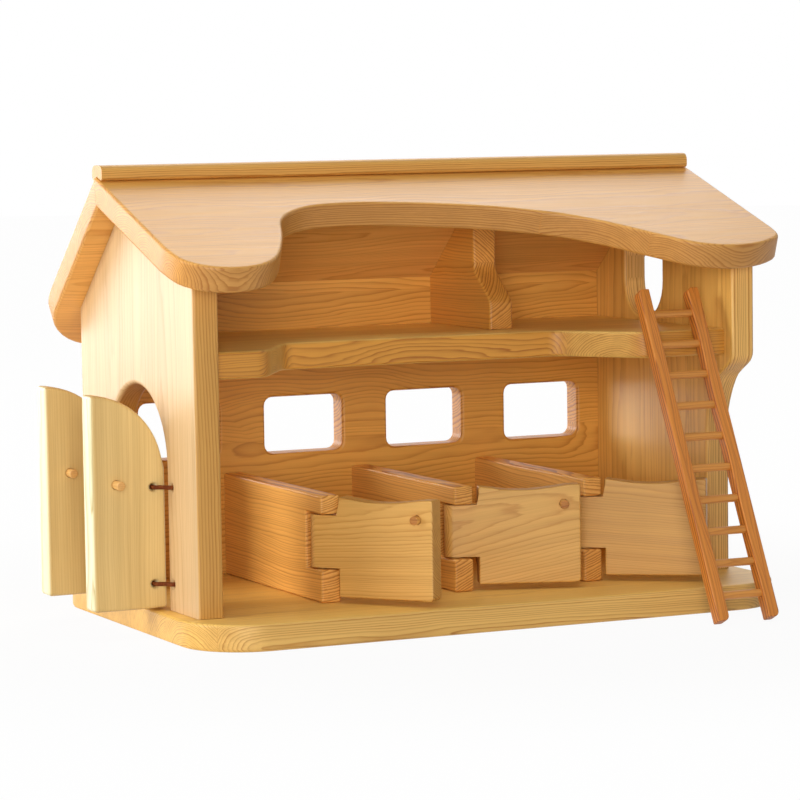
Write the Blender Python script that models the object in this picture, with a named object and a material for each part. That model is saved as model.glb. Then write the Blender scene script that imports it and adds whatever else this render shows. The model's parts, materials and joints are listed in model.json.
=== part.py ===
"""Toy barn with opening doors, for small wooden animals.

The origin is the middle of the base's underside. +Y goes to the back wall, +X to the gable
that the ladder stands by and +Z up. All sizes are in metres and all angles in radians.
"""

import math

import bmesh
import bpy
from mathutils import Matrix, Vector

# Gaps and cuts
seat_gap = 0.0003
overrun = 0.006

# Base
base_thickness = 0.018
base_side_lip = 0.010
base_front_lip = 0.038
base_corner = 0.046
base_round = 0.0022

# House walls
house_length = 0.418
house_depth = 0.212
wall = 0.018
wall_round = 0.0022
gable_height = 0.264
apex_setback = 0.019
front_pitch = math.radians(19.0)
rear_pitch = math.radians(40.0)

# Step in the front edge of the open gable
step_height = 0.159
step_drop = 0.055
step_depth = 0.035

# Window under the ridge in the open gable
lookout_width_share = 0.771
lookout_head = 0.0195
lookout_sill = 0.0025
lookout_round = 0.0025

# Doorway in the door gable
doorway_half = 0.053
doorway_spring = 0.0925
doorway_round = 0.0035

# Windows of the back wall
window_count = 4
window_width = 0.060
window_height = 0.040
window_sill = 0.084
window_corner = 0.006
window_round = 0.0025

# Loft floor and its divider
loft_thickness = 0.018
loft_height = 0.154
loft_front = 0.010
loft_recess = 0.052
loft_left_lobe = 0.031
loft_left_sweep = 0.048
loft_right_lobe = 0.055
loft_right_sweep = 0.057
loft_round = 0.0022
loft_wall = 0.018
loft_wall_place = 0.0625
loft_wall_lead = 0.002
loft_wall_step = 0.025
loft_wall_foot_height = 0.016
loft_wall_sweep = 0.029

# Roof
roof_thickness = 0.018
roof_overhang = 0.018
front_slope = 0.161
rear_slope = 0.158
rear_corner = 0.045
roof_round = 0.0022

# Strip over the ridge
strip_shortfall = 0.002
strip_width = 0.019
strip_height = 0.0113
strip_round = 0.0048
strip_foot_round = 0.002
strip_end_round = 0.001
strip_lead = 0.010

# Stall dividers
stall_count = 3
stall_thickness = 0.014
stall_pitch = 0.099
stall_shift = -0.0042
stall_height = 0.072
stall_front = 0.080
stall_round = 0.0015
mouth_bottom = 0.0222
mouth_height = 0.0373
mouth_depth = 0.0255
pin_setback = 0.013
pin_radius = 0.003
pin_end = 0.010
pin_play = 0.0005

# Stall gates
gate_thickness = 0.013
gate_reach = 0.085
gate_shoulder = 0.015
gate_tail = 0.008
gate_foot = 0.004
gate_height = 0.067
gate_dip = 0.003
gate_play = 0.001
gate_round = 0.0012
gate_corner = 0.003
gate_turns = (math.radians(52.0), math.radians(20.0), math.radians(35.0))
peg_radius = 0.003
peg_inset = 0.0115
peg_drop = 0.013
peg_stand = 0.005
peg_round = 0.0006

# Barn doors
leaf_thickness = 0.0174
leaf_foot = 0.0015
leaf_top_gap = 0.0015
leaf_hinge_gap = 0.0005
leaf_meet_gap = 0.0012
leaf_round = 0.0024
leaf_turn = math.radians(90.0)
knob_radius = 0.003
knob_inset = 0.018
knob_height = 0.085
knob_out = 0.010
knob_in = 0.008
knob_round = 0.0008

# Leather thongs that hinge the doors
thong_radius = 0.0014
thong_hole = 0.0018
thong_sink = 0.00425
thong_sink_depth = 0.0025
thong_inset = 0.009
thong_heights = (0.018, 0.082)
thong_bow = 0.0035
thong_knot_length = 0.005

# Ladder
ladder_lean = math.radians(26.2)
ladder_place = 0.1496
ladder_width = 0.0473
ladder_over = 0.029
rail_side = 0.0087
rail_corner = 0.0038
rail_round = 0.0009
rung_count = 10
rung_first = 0.018
rung_last = 0.018
rung_radius = 0.00275
rung_seat = 0.005

# Outline tables, as shares of the sizes that they follow
front_eave_shares = (
    (-1.0, 0.74), (-0.985, 0.885), (-0.935, 0.968), (-0.862, 1.0), (-0.78, 0.988),
    (-0.713, 0.93), (-0.66, 0.83), (-0.60, 0.65), (-0.555, 0.485), (-0.49, 0.39),
    (-0.40, 0.335), (-0.26, 0.318), (-0.12, 0.335), (0.004, 0.363), (0.13, 0.40),
    (0.244, 0.453), (0.358, 0.522), (0.458, 0.621), (0.53, 0.717), (0.59, 0.80),
    (0.645, 0.875), (0.705, 0.925), (0.79, 0.95), (0.88, 0.932), (0.955, 0.88),
    (0.99, 0.83), (1.0, 0.75),
)
step_shares = (
    (0.0, 0.0), (0.10, 0.01), (0.19, 0.11), (0.27, 0.31), (0.37, 0.56),
    (0.49, 0.71), (0.64, 0.84), (0.82, 0.95), (1.0, 1.0),
)
sweep_shares = (
    (0.0, 0.0), (0.10, 0.02), (0.22, 0.11), (0.36, 0.30), (0.5, 0.5),
    (0.64, 0.70), (0.78, 0.89), (0.90, 0.98), (1.0, 1.0),
)
gate_wave_shares = (
    (0.0, 0.0), (0.12, 0.05), (0.3, 0.6), (0.5, 1.0), (0.7, 0.92),
    (0.88, 0.35), (1.0, 0.0),
)

# Places worked out from the sizes
half_length = house_length / 2
inner_half = half_length - wall
front = -house_depth / 2
back = house_depth / 2
back_inner = back - wall
floor = base_thickness
apex = floor + gable_height
front_top = apex - (apex_setback - front) * math.tan(front_pitch)
back_top = apex - (back - apex_setback) * math.tan(rear_pitch)
inner_top = apex - (back_inner - apex_setback) * math.tan(rear_pitch)
loft_under = floor + loft_height
loft_top = loft_under + loft_thickness
roof_half = half_length + roof_overhang
mitre = roof_thickness * math.tan((front_pitch + rear_pitch) / 2)
lookout_height = apex - lookout_head - loft_top - lookout_sill
lookout_width = lookout_height * lookout_width_share
rail_length = loft_top / math.cos(ladder_lean) + ladder_over
rung_pitch = (rail_length - rung_first - rung_last) / (rung_count - 1)
stall_end = -stall_front
pin_place = stall_end + pin_setback

PINE = (0.80, 0.56, 0.30, 1.0)
PALE = (0.88, 0.70, 0.46, 1.0)
GOLD = (0.72, 0.45, 0.19, 1.0)
REDDISH = (0.50, 0.24, 0.09, 1.0)
LEATHER = (0.20, 0.06, 0.02, 1.0)


def material(name, colour, roughness):
    """Return the named material, a plain finish of one colour."""
    found = bpy.data.materials.get(name)
    if found:
        return found
    made = bpy.data.materials.new(name)
    made.use_nodes = True
    shader = made.node_tree.nodes["Principled BSDF"]
    shader.inputs["Base Color"].default_value = colour
    shader.inputs["Roughness"].default_value = roughness
    shader.inputs["Metallic"].default_value = 0.0
    made.diffuse_color = colour
    return made


def arc(centre, radius, start, end, steps):
    """Points of an arc about a centre, from one angle to another."""
    points = []
    for i in range(steps + 1):
        angle = start + (end - start) * i / steps
        points.append((centre[0] + radius * math.cos(angle), centre[1] + radius * math.sin(angle)))
    return points


def flowing(points, steps):
    """Points of a smooth curve that passes through all the given points."""
    flow = []
    last = len(points) - 1
    for i in range(last):
        a = Vector(points[max(i - 1, 0)])
        b = Vector(points[i])
        c = Vector(points[i + 1])
        d = Vector(points[min(i + 2, last)])
        for k in range(steps):
            t = k / steps
            place = b * 2 + (c - a) * t
            place += (a * 2 - b * 5 + c * 4 - d) * t ** 2
            place += (b * 3 - a - c * 3 + d) * t ** 3
            flow.append(tuple(place / 2))
    flow.append(tuple(points[last]))
    return flow


def sweep(start, end, shares, steps=1):
    """An S between two points, where a table says how far along and across it has got."""
    points = []
    for along, across in shares:
        points.append((start[0] + (end[0] - start[0]) * across, start[1] + (end[1] - start[1]) * along))
    return flowing(points, steps)


def rounded_box(left, right, bottom, top, radius, steps):
    """A rectangle with round corners, counter-clockwise."""
    quarter = math.pi / 2
    points = arc((right - radius, bottom + radius), radius, -quarter, 0.0, steps)
    points += arc((right - radius, top - radius), radius, 0.0, quarter, steps)
    points += arc((left + radius, top - radius), radius, quarter, math.pi, steps)
    points += arc((left + radius, bottom + radius), radius, math.pi, math.pi + quarter, steps)
    return points


def slab(outline, thickness):
    """An outline extruded to a thickness, as a bmesh."""
    shape = bmesh.new()
    face = shape.faces.new([shape.verts.new((u, v, 0.0)) for u, v in outline])
    grown = bmesh.ops.extrude_face_region(shape, geom=[face])["geom"]
    raised = [item for item in grown if isinstance(item, bmesh.types.BMVert)]
    bmesh.ops.translate(shape, verts=raised, vec=(0.0, 0.0, thickness))
    bmesh.ops.recalc_face_normals(shape, faces=shape.faces)
    return shape


def sharp(edge):
    """Whether an edge turns by more than 40 degrees."""
    return len(edge.link_faces) == 2 and edge.calc_face_angle() > math.radians(40.0)


def soften(shape, radius, steps, wanted=None):
    """Round the sharp edges whose middle point is wanted."""
    edges = []
    for edge in shape.edges:
        middle = (edge.verts[0].co + edge.verts[1].co) / 2
        if sharp(edge) and (wanted is None or wanted(middle)):
            edges.append(edge)
    bmesh.ops.bevel(shape, geom=edges, offset=radius, offset_type='OFFSET', segments=steps,
                    profile=0.5, affect='EDGES', clamp_overlap=True)


def rings(sections):
    """A closed solid through rings of points that have equal counts."""
    shape = bmesh.new()
    rows = [[shape.verts.new(point) for point in section] for section in sections]
    count = len(rows[0])
    shape.faces.new(rows[0])
    shape.faces.new(rows[-1])
    for low, high in zip(rows, rows[1:]):
        for i in range(count):
            k = (i + 1) % count
            shape.faces.new((low[i], low[k], high[k], high[i]))
    bmesh.ops.recalc_face_normals(shape, faces=shape.faces)
    return shape


def turned(profile, steps):
    """A solid of revolution about Z through (radius, height) points."""
    sections = []
    for radius, height in profile:
        section = []
        for i in range(steps):
            angle = math.tau * i / steps
            section.append((radius * math.cos(angle), radius * math.sin(angle), height))
        sections.append(section)
    return rings(sections)


def dowel(radius, start, end, edge, steps):
    """A round rod along Z with rounded rims."""
    rim = edge * (1 - math.sqrt(0.5))
    profile = [(radius - edge, start), (radius - rim, start + rim), (radius, start + edge)]
    profile += [(radius, end - edge), (radius - rim, end - rim), (radius - edge, end)]
    return turned(profile, steps)


def finish(name, shape, colour, place=None, parent=None, smooth=True):
    """Turn a bmesh into a named object with its own material."""
    mesh = bpy.data.meshes.new(name)
    shape.to_mesh(mesh)
    shape.free()
    if smooth:
        mesh.shade_smooth()
        mesh.set_sharp_from_angle(angle=math.radians(32.0))
    made = bpy.data.objects.new(name, mesh)
    bpy.context.scene.collection.objects.link(made)
    if colour:
        mesh.materials.append(material(name + " wood" if colour != LEATHER else name + " leather", colour, 0.62))
    if parent:
        made.parent = parent
    if place:
        made.matrix_local = place
    return made


def cut(target, name, shape, place=None):
    """Cut a solid out of an object with a Boolean modifier."""
    tool = finish(name, shape, None, place, smooth=False)
    tool.hide_render = True
    tool.display_type = 'WIRE'
    step = target.modifiers.new(name, 'BOOLEAN')
    step.operation = 'DIFFERENCE'
    step.solver = 'EXACT'
    step.object = tool


def hole(outline_of, depth, rounding, steps):
    """A cutter along Z for a hole through a board, flared by the rounding of its edges."""
    levels = [(rounding, -overrun)]
    for i in range(steps + 1):
        turn = math.pi / 2 * i / steps
        levels.append((rounding * (1 - math.sin(turn)), rounding * (1 - math.cos(turn))))
    for i in range(steps + 1):
        turn = math.pi / 2 * (1 - i / steps)
        levels.append((rounding * (1 - math.sin(turn)), depth - rounding * (1 - math.cos(turn))))
    levels.append((rounding, depth + overrun))
    return rings([[(u, v, height) for u, v in outline_of(grow)] for grow, height in levels])


def axes(u, v, w, origin):
    """A placing matrix from three unit directions and an origin."""
    matrix = Matrix((u, v, w)).transposed().to_4x4()
    matrix.translation = Vector(origin)
    return matrix


X_AXIS = Vector((1, 0, 0))
Y_AXIS = Vector((0, 1, 0))
Z_AXIS = Vector((0, 0, 1))


def across(x):
    """Placing for a board whose outline is drawn in Y and Z, with its left face at x."""
    return axes(Y_AXIS, Z_AXIS, X_AXIS, (x, 0.0, 0.0))


def clear_scene():
    for item in list(bpy.data.objects):
        bpy.data.objects.remove(item, do_unlink=True)


def make_base():
    half = half_length + base_side_lip
    deep = house_depth / 2 + base_front_lip
    shape = slab(rounded_box(-half, half, -deep, deep, base_corner, 10), base_thickness)
    soften(shape, base_round, 2)
    finish("base_plate", shape, GOLD)


def gable_outline(stepped):
    """The gable in Y and Z, standing on the base and stopping under the roof boards."""
    low = floor + seat_gap
    drop_front = seat_gap / math.cos(front_pitch)
    drop_rear = seat_gap / math.cos(rear_pitch)
    points = [(back, low), (back, back_top - drop_rear)]
    points += [(apex_setback, apex - drop_rear), (front, front_top - drop_front)]
    if stepped:
        upper = (front, floor + step_height)
        lower = (front + step_depth, floor + step_height - step_drop)
        points += sweep(upper, lower, step_shares, 2)
        points.append((front + step_depth, low))
    else:
        points.append((front, low))
    return points


def outer_edges(point):
    """The gable's front and rear edges, which are rounded; its seats stay square."""
    along_rear = point.x > back - seat_gap
    along_front = point.x < front + step_depth + seat_gap and point.y < front_top - seat_gap
    return point.y > floor + 2 * seat_gap and (along_rear or along_front)


def make_gables():
    for name, left, stepped in (("left_gable", -half_length, False), ("right_gable", inner_half, True)):
        shape = slab(gable_outline(stepped), wall)
        soften(shape, wall_round, 2, outer_edges)
        gable = finish(name, shape, PALE if not stepped else PINE, across(left))
        if stepped:
            middle = loft_top + lookout_sill + lookout_height / 2

            def lookout(grow):
                half = lookout_width / 2 + grow
                tall = lookout_height / 2 + grow
                return rounded_box(apex_setback - half, apex_setback + half, middle - tall, middle + tall, half, 8)

            cut(gable, "lookout_cutter", hole(lookout, wall, lookout_round, 2), across(left))
        else:
            spring = floor + doorway_spring

            def doorway(grow):
                half = doorway_half + grow
                points = arc((0.0, spring), half, 0.0, math.pi, 28)
                return points + [(-half, floor - overrun), (half, floor - overrun)]

            cut(gable, "doorway_cutter", hole(doorway, wall, doorway_round, 2), across(left))


def make_back_wall():
    low = floor + seat_gap
    drop = seat_gap / math.cos(rear_pitch)
    outline = [(back_inner, low), (back, low), (back, back_top - drop), (back_inner, inner_top - drop)]
    length = 2 * (inner_half - seat_gap)
    wall_back = finish("back_wall", slab(outline, length), PINE, across(seat_gap - inner_half))
    bay = 2 * inner_half / window_count
    for i in range(window_count):
        centre = bay * (i + 0.5) - inner_half
        bottom = floor + window_sill

        def window(grow):
            half = window_width / 2 + grow
            return rounded_box(centre - half, centre + half, bottom - grow, bottom + window_height + grow,
                               window_corner + grow, 4)

        place = axes(X_AXIS, Z_AXIS, -Y_AXIS, (0.0, back, 0.0))
        cut(wall_back, f"window_cutter_{i + 1}", hole(window, wall, window_round, 2), place)


def make_loft():
    half = inner_half - seat_gap
    rear = back_inner - seat_gap
    lobe = front + loft_front
    recess = lobe + loft_recess
    points = [(half, rear), (-half, rear), (-half, lobe)]
    left_start = -inner_half + loft_left_lobe
    left_end = left_start + loft_left_sweep
    right_end = inner_half - loft_right_lobe
    right_start = right_end - loft_right_sweep
    points += [(y, x) for x, y in sweep((lobe, left_start), (recess, left_end), sweep_shares, 2)]
    points += [(y, x) for x, y in sweep((recess, right_start), (lobe, right_end), sweep_shares, 2)]
    points.append((half, lobe))
    shape = slab(points, loft_thickness)
    soften(shape, loft_round, 2, lambda point: point.y < recess + seat_gap and abs(point.x) < half - seat_gap)
    finish("loft_floor", shape, PINE, Matrix.Translation((0.0, 0.0, loft_under)))

    low = loft_top + seat_gap
    rear_drop = seat_gap / math.cos(rear_pitch)
    front_drop = seat_gap / math.cos(front_pitch)
    head = apex_setback - loft_wall_lead
    foot = head - loft_wall_step
    knee = low + loft_wall_foot_height
    outline = [(rear, low), (rear, apex - (rear - apex_setback) * math.tan(rear_pitch) - rear_drop)]
    outline.append((apex_setback, apex - rear_drop))
    outline.append((head, apex - (apex_setback - head) * math.tan(front_pitch) - front_drop))
    outline += sweep((head, knee + loft_wall_sweep), (foot, knee), sweep_shares, 2)
    outline.append((foot, low))
    shape = slab(outline, loft_wall)
    soften(shape, wall_round, 2, lambda point: point.x < head + seat_gap and point.y > low + seat_gap)
    finish("loft_divider", shape, PINE, across(loft_wall_place - loft_wall / 2))


def slanted_ridge(shape, thickness, inner, outer):
    """Slide the ridge edge of a roof board onto the mitre plane."""
    for vert in shape.verts:
        if abs(vert.co.y) < seat_gap / 2:
            vert.co.y = inner if vert.co.z < thickness / 2 else outer


def make_roof():
    away = seat_gap / 2
    eave = []
    for along, down in front_eave_shares:
        eave.append((along * roof_half, -down * front_slope))
    outline = [(roof_half, 0.0), (-roof_half, 0.0)] + flowing(eave, 3)
    shape = slab(outline, roof_thickness)
    slanted_ridge(shape, roof_thickness, -away, mitre - away)
    soften(shape, roof_round, 2, lambda point: point.y < -2 * seat_gap and abs(point.y) > mitre)
    place = Matrix.Translation((0.0, apex_setback, apex)) @ Matrix.Rotation(front_pitch, 4, 'X')
    finish("roof_front", shape, PALE, place)

    outline = [(-roof_half, 0.0), (roof_half, 0.0)]
    outline += arc((roof_half - rear_corner, rear_slope - rear_corner), rear_corner, 0.0, math.pi / 2, 10)
    outline += arc((rear_corner - roof_half, rear_slope - rear_corner), rear_corner, math.pi / 2, math.pi, 10)
    shape = slab(outline, roof_thickness)
    slanted_ridge(shape, roof_thickness, away, away - mitre)
    soften(shape, roof_round, 2, lambda point: point.y > mitre)
    place = Matrix.Translation((0.0, apex_setback, apex)) @ Matrix.Rotation(-rear_pitch, 4, 'X')
    finish("roof_rear", shape, PALE, place)


def make_ridge_strip():
    """The strip's section in Y and Z, measured from the outer ridge line."""
    ridge_y = apex_setback + mitre * math.cos(front_pitch) - roof_thickness * math.sin(front_pitch)
    ridge_z = apex + mitre * math.sin(front_pitch) + roof_thickness * math.cos(front_pitch)
    lift = seat_gap / math.cos(rear_pitch)
    lead = strip_lead
    trail = strip_width - strip_lead
    under = lead * math.tan(front_pitch)
    top = strip_height - under
    foot_y = strip_foot_round - lead
    foot_z = lift + foot_y * math.tan(front_pitch) + strip_foot_round / math.cos(front_pitch)
    points = [(0.0, lift), (under / math.tan(rear_pitch), lift - under)]
    points += arc((trail - strip_round, lift - under + strip_round), strip_round, -math.pi / 2, 0.0, 4)
    points += arc((trail - strip_round, top - strip_round), strip_round, 0.0, math.pi / 2, 4)
    points += arc((strip_round - lead, top - strip_round), strip_round, math.pi / 2, math.pi, 4)
    points += arc((foot_y, foot_z), strip_foot_round, math.pi, math.pi * 1.5 + front_pitch, 3)
    length = 2 * (roof_half - strip_shortfall)
    shape = slab(points, length)
    place = axes(Y_AXIS, Z_AXIS, X_AXIS, (-length / 2, ridge_y, ridge_z))
    ends = (0.0, length)
    soften(shape, strip_end_round, 2, lambda point: min(abs(point.z - end) for end in ends) < seat_gap)
    finish("ridge_strip", shape, GOLD, place)


def stall_x(index):
    """The middle of a stall divider's thickness."""
    return stall_shift + (index - (stall_count - 1) / 2) * stall_pitch


def make_stalls():
    low = floor + seat_gap
    high = floor + stall_height
    rear = back_inner - seat_gap
    mouth_low = floor + mouth_bottom
    mouth_high = mouth_low + mouth_height
    mouth_rear = stall_end + mouth_depth
    outline = [(stall_end, low), (rear, low), (rear, high), (stall_end, high), (stall_end, mouth_high)]
    outline += [(mouth_rear, mouth_high), (mouth_rear, mouth_low), (stall_end, mouth_low)]
    for i in range(stall_count):
        x = stall_x(i)
        shape = slab(outline, stall_thickness)
        soften(shape, stall_round, 2, lambda point: low < point.y and point.x < rear - seat_gap)
        divider = finish(f"stall_divider_{i + 1}", shape, PINE, across(x - stall_thickness / 2))
        bore = dowel(pin_radius + seat_gap, floor - overrun, mouth_high + pin_end + seat_gap, seat_gap, 16)
        cut(divider, f"pin_cutter_{i + 1}", bore, Matrix.Translation((x, pin_place, 0.0)))
        rod = dowel(pin_radius, low, mouth_high + pin_end, pin_radius / 8, 16)
        finish(f"gate_pin_{i + 1}", rod, PINE, Matrix.Translation((x, pin_place, 0.0)))


def gate_outline():
    """The gate in its own frame: along from the pin, and height above the table."""
    low = floor + gate_foot
    high = low + gate_height
    tongue_low = floor + mouth_bottom + gate_play
    tongue_high = floor + mouth_bottom + mouth_height - gate_play
    quarter = math.pi / 2
    points = [(gate_shoulder, low)]
    points += arc((gate_reach - gate_corner, low + gate_corner), gate_corner, -quarter, 0.0, 4)
    wave = []
    for along, dip in gate_wave_shares:
        wave.append((gate_reach + (gate_shoulder - gate_reach) * along, high - gate_dip * dip))
    points += flowing(wave, 2)
    points += [(gate_shoulder, tongue_high), (-gate_tail, tongue_high), (-gate_tail, tongue_low)]
    points.append((gate_shoulder, tongue_low))
    return points


def tail_edge(point):
    """The two upright edges at the tongue's end, which are turned round about the pin."""
    low = floor + mouth_bottom + 2 * gate_play
    high = floor + mouth_bottom + mouth_height - 2 * gate_play
    return point.x < seat_gap - gate_tail and low < point.y < high


def make_gates():
    tongue_low = floor + mouth_bottom + gate_play
    tongue_high = floor + mouth_bottom + mouth_height - gate_play
    half = gate_thickness / 2
    for i in range(stall_count):
        hinge = Matrix.Translation((stall_x(i), pin_place, 0.0)) @ Matrix.Rotation(-gate_turns[i], 4, 'Z')
        shape = slab(gate_outline(), gate_thickness)
        soften(shape, half - seat_gap, 6, tail_edge)
        soften(shape, gate_round, 2, lambda point: point.x > gate_shoulder - seat_gap)
        bmesh.ops.transform(shape, matrix=axes(X_AXIS, Z_AXIS, -Y_AXIS, (0.0, half, 0.0)), verts=shape.verts)
        bmesh.ops.recalc_face_normals(shape, faces=shape.faces)
        gate = finish(f"stall_gate_{i + 1}", shape, PALE, hinge)
        bore = dowel(pin_radius + pin_play, tongue_low - overrun, tongue_high + overrun, seat_gap, 16)
        cut(gate, f"gate_bore_cutter_{i + 1}", bore, hinge)
        peg_x = gate_reach - peg_inset
        peg_z = floor + gate_foot + gate_height - peg_drop
        peg_place = hinge @ axes(X_AXIS, Z_AXIS, -Y_AXIS, (peg_x, 0.0, peg_z))
        socket = dowel(peg_radius + seat_gap, -half - overrun, half + overrun, seat_gap, 16)
        cut(gate, f"peg_cutter_{i + 1}", socket, peg_place)
        peg = dowel(peg_radius, -half, half + peg_stand, peg_round, 16)
        finish(f"gate_peg_{i + 1}", peg, PINE, peg_place)


def leaf_outline():
    """A door leaf: away from its hinge axis, and height above the table."""
    low = floor + leaf_foot
    spring = floor + doorway_spring
    radius = doorway_half - leaf_top_gap
    meet = doorway_half - leaf_meet_gap
    start = math.acos((doorway_half - meet) / radius)
    end = math.acos((doorway_half - leaf_hinge_gap) / radius) if radius > doorway_half else 0.0
    points = [(leaf_hinge_gap, low), (meet, low)]
    arch = arc((doorway_half, spring), radius, math.pi - start, math.pi - end, 14)
    crown = [point for point in arch if point[0] > leaf_hinge_gap + leaf_top_gap]
    points += crown
    points.append((leaf_hinge_gap, spring + leaf_top_gap))
    return points


def make_doors():
    outer = -half_length
    for i, side in enumerate((-1, 1)):
        name = "front" if side < 0 else "rear"
        hinge_y = side * doorway_half
        turn = -side * leaf_turn
        hinge = Matrix.Translation((outer, hinge_y, 0.0)) @ Matrix.Rotation(turn, 4, 'Z')
        shape = slab(leaf_outline(), leaf_thickness)
        soften(shape, leaf_round, 2)
        along = Y_AXIS if side < 0 else -Y_AXIS
        bmesh.ops.transform(shape, matrix=axes(along, Z_AXIS, X_AXIS, (0.0, 0.0, 0.0)), verts=shape.verts)
        bmesh.ops.recalc_face_normals(shape, faces=shape.faces)
        leaf = finish(f"barn_door_{name}", shape, PALE, hinge)
        knob_y = doorway_half - knob_inset
        place = hinge @ axes(Y_AXIS, Z_AXIS, X_AXIS, (0.0, -side * knob_y, floor + knob_height))
        socket = dowel(knob_radius + seat_gap, -overrun, leaf_thickness + overrun, seat_gap, 16)
        cut(leaf, f"knob_cutter_{name}", socket, place)
        knob = dowel(knob_radius, -knob_out, leaf_thickness + knob_in, knob_round, 16)
        finish(f"door_knob_{name}", knob, PINE, place)
        for k, height in enumerate(thong_heights):
            leaf_hole = hinge @ axes(Y_AXIS, Z_AXIS, X_AXIS, (0.0, -side * thong_inset, floor + height))
            cut(leaf, f"leaf_hole_{name}_{k + 1}", thong_bore(leaf_thickness), leaf_hole)
            wall_hole = axes(Y_AXIS, Z_AXIS, X_AXIS, (outer, hinge_y + side * thong_inset, floor + height))
            cut(bpy.data.objects["left_gable"], f"wall_hole_{name}_{k + 1}", thong_bore(wall), wall_hole)
            finish(f"hinge_thong_{name}_{k + 1}", thong(), LEATHER,
                   axes(Y_AXIS * side, X_AXIS, Z_AXIS, (outer, hinge_y, floor + height)))


def thong_bore(depth):
    """A hole through a board from its outer face, countersunk at both faces."""
    profile = [(thong_sink + overrun, -overrun), (thong_sink, 0.0), (thong_hole, thong_sink_depth)]
    profile += [(thong_hole, depth - thong_sink_depth), (thong_sink, depth), (thong_sink + overrun, depth + overrun)]
    return turned(profile, 16)


def thong():
    """A leather thong with a knot at each end, through wall and leaf and round the corner.

    In its frame +X goes along the wall away from the doorway and -Y out from the house.
    """
    wall_end = wall + thong_knot_length / 2
    leaf_end = leaf_thickness + thong_knot_length / 2
    path = [(thong_inset, wall_end), (thong_inset, thong_sink_depth)]
    reach = thong_inset
    for i in range(9):
        turn = math.pi / 2 * i / 8
        swell = 1 - thong_bow / thong_inset * math.sin(2 * turn)
        path.append((reach * math.cos(turn) * swell, -reach * math.sin(turn) * swell))
    path += [(-thong_sink_depth, -thong_inset), (-leaf_end, -thong_inset)]
    return tube(path, thong_radius, 8)


def tube(path, radius, steps):
    """A round tube along points in one plane, mitred at each turn, with round knots at its ends."""
    points = [Vector((x, y, 0.0)) for x, y in path]
    sections = []
    last = len(points) - 1
    for i, point in enumerate(points):
        before = (points[i] - points[max(i - 1, 0)]).normalized()
        after = (points[min(i + 1, last)] - points[i]).normalized()
        along = (before + after).normalized()
        across_it = Vector((-along.y, along.x, 0.0))
        section = []
        for k in range(steps):
            angle = math.tau * k / steps
            section.append(point + across_it * (radius * math.cos(angle)) + Z_AXIS * (radius * math.sin(angle)))
        sections.append(section)
    return rings(sections)


def make_ladder():
    easing = loft_round * (math.cos(ladder_lean) + math.sin(ladder_lean) - 1)
    reach = (easing - seat_gap) / math.cos(ladder_lean) - loft_top * math.tan(ladder_lean)
    foot_y = front + loft_front + reach
    lean = Matrix.Rotation(-ladder_lean, 4, 'X')
    stand = Matrix.Translation((ladder_place, foot_y, 0.0)) @ lean
    rail_half = rail_side / 2
    drop = rail_round * (math.cos(ladder_lean) + math.sin(ladder_lean) - 1) / math.cos(ladder_lean)
    quarter = math.pi / 2
    outline = [(-rail_half, 0.0)]
    outline += arc((rail_half - rail_corner, rail_corner), rail_corner, -quarter, 0.0, 4)
    outline.append((rail_half, rail_length))
    outline += arc((rail_corner - rail_half, rail_length - rail_corner), rail_corner, quarter, math.pi, 4)
    for i, side in enumerate((-1, 1)):
        centre = side * (ladder_width - rail_side) / 2
        shape = slab(outline, rail_side)
        soften(shape, rail_round, 2)
        bmesh.ops.transform(shape, matrix=axes(X_AXIS, Z_AXIS, -Y_AXIS, (0.0, 0.0, 0.0)), verts=shape.verts)
        bmesh.ops.recalc_face_normals(shape, faces=shape.faces)
        rail = finish(f"ladder_rail_{i + 1}", shape, REDDISH, stand @ Matrix.Translation((centre, 0.0, -drop)))
        for k in range(rung_count):
            height = rung_first + k * rung_pitch
            inner = centre - side * rail_half
            start = min(inner + side * (rung_seat + seat_gap), inner - side * overrun)
            end = max(inner + side * (rung_seat + seat_gap), inner - side * overrun)
            place = stand @ axes(Y_AXIS, Z_AXIS, X_AXIS, (0.0, -rail_half, height))
            cut(rail, f"rung_cutter_{i + 1}_{k + 1}", dowel(rung_radius + seat_gap, start, end, seat_gap, 12), place)
    for k in range(rung_count):
        height = rung_first + k * rung_pitch
        reach = ladder_width / 2 - rail_side + rung_seat
        place = stand @ axes(Y_AXIS, Z_AXIS, X_AXIS, (0.0, -rail_half, height))
        finish(f"ladder_rung_{k + 1:02d}", dowel(rung_radius, -reach, reach, rung_radius / 6, 12), REDDISH, place)


def main():
    clear_scene()
    make_base()
    make_gables()
    make_back_wall()
    make_loft()
    make_roof()
    make_ridge_strip()
    make_stalls()
    make_gates()
    make_doors()
    make_ladder()


main()
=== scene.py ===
"""Looks of a wooden toy barn: boards, roof, stalls, gates, doors on thongs, ladder, and the stage."""

import json
import math

import bmesh
import bpy
from mathutils import Matrix, Vector

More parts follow.
